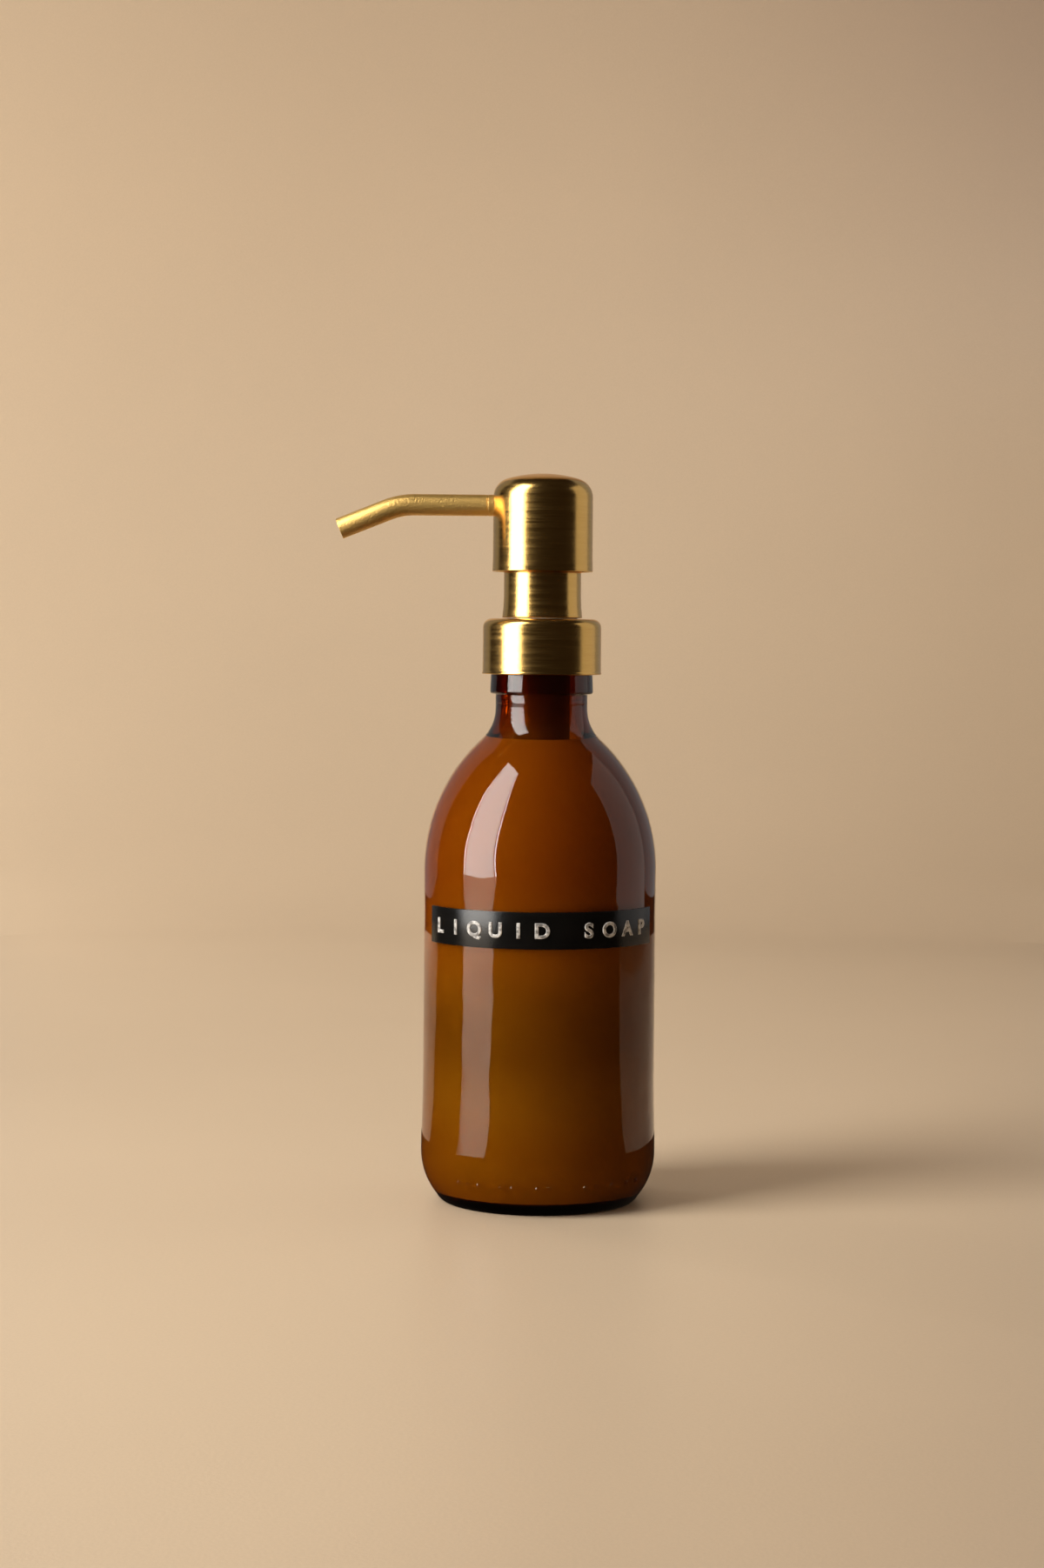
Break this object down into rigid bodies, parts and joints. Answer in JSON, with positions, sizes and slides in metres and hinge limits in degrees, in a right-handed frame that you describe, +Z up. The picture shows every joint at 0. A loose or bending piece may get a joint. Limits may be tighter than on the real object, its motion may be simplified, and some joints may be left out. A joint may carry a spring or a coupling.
{
  "type": "soap pump dispenser",
  "caption": "Round glass bottle with a screw-on press pump, a bent spout that turns, and a wrap-round label, for liquid soap or lotion.",
  "frame": {"origin": "on the bottle's axis, in the plane that it stands on, 1 mm under the flat panel in its base", "axes": "+Z up along the bottle's axis, -X the way the spout points, -Y the way the label faces"},
  "size_m": [0.0908, 0.0654, 0.2027],
  "materials": {
    "glass_bottle": "clear amber glass, smooth",
    "label_tape": "black satin embossing tape with white raised letters",
    "collar_shell": "brushed, lacquered",
    "threaded_closure": "natural white polypropylene",
    "pump_housing": "natural translucent polypropylene",
    "rim_gasket": "soft polyethylene foam",
    "snap_chaplet": "white polypropylene",
    "sleeve_shell": "brushed, lacquered",
    "dip_tube": "translucent polyethylene",
    "ball_cage": "white polypropylene",
    "inlet_ball": "polished stainless steel",
    "return_spring": "drawn stainless wire",
    "pump_stem": "white polypropylene",
    "piston_rod": "white polypropylene",
    "piston_cup": "soft polyethylene",
    "head_shell": "brushed, lacquered",
    "head_insert": "white polypropylene",
    "spout_seal": "soft rubber",
    "spout_tube": "satin, lacquered",
    "spout_liner": "translucent polyethylene"
  },
  "bodies": {
    "bottle": {"glass_bottle": "glass_bottle", "label_tape": "label_tape"},
    "collar": {"collar_shell": "collar_shell", "threaded_closure": "threaded_closure"},
    "pump_body": {"pump_housing": "pump_housing", "rim_gasket": "rim_gasket", "snap_chaplet": "snap_chaplet", "sleeve_shell": "sleeve_shell", "dip_tube": "dip_tube", "ball_cage": "ball_cage", "return_spring": "return_spring"},
    "inlet_valve": {"inlet_ball": "inlet_ball"},
    "plunger": {"pump_stem": "pump_stem", "piston_rod": "piston_rod"},
    "piston": {"piston_cup": "piston_cup"},
    "head": {"head_shell": "head_shell", "head_insert": "head_insert", "spout_seal": "spout_seal", "spout_tube": "spout_tube", "spout_liner": "spout_liner"}
  },
  "joints": [
    {"name": "pump_rise", "type": "slide", "parent": "bottle", "child": "pump_body", "axis": [0, 0, 1], "range_m": [0, 0.0053]},
    {"name": "collar_turn", "type": "hinge", "parent": "pump_body", "child": "collar", "pos_m": [0, 0, 0.154], "axis": [0, 0, 1], "range_deg": [0, 450]},
    {"name": "head_press", "type": "slide", "parent": "pump_body", "child": "plunger", "axis": [0, 0, -1], "range_m": [0, 0.012], "stiffness_N_per_m": 900, "springref_m": -0.008, "deforming": ["return_spring"]},
    {"name": "spout_swivel", "type": "hinge", "parent": "plunger", "child": "head", "pos_m": [0, 0, 0.19], "axis": [0, 0, 1], "continuous": true},
    {"name": "piston_slip", "type": "slide", "parent": "plunger", "child": "piston", "axis": [0, 0, 1], "range_m": [0, 0.0012]},
    {"name": "inlet_ball_lift", "type": "slide", "parent": "pump_body", "child": "inlet_valve", "axis": [0, 0, 1], "range_m": [0, 0.0009]}
  ],
  "couplings": [
    {"joint": "pump_rise", "follows": "collar_turn", "m_per_rad": 0.00067376}
  ]
}
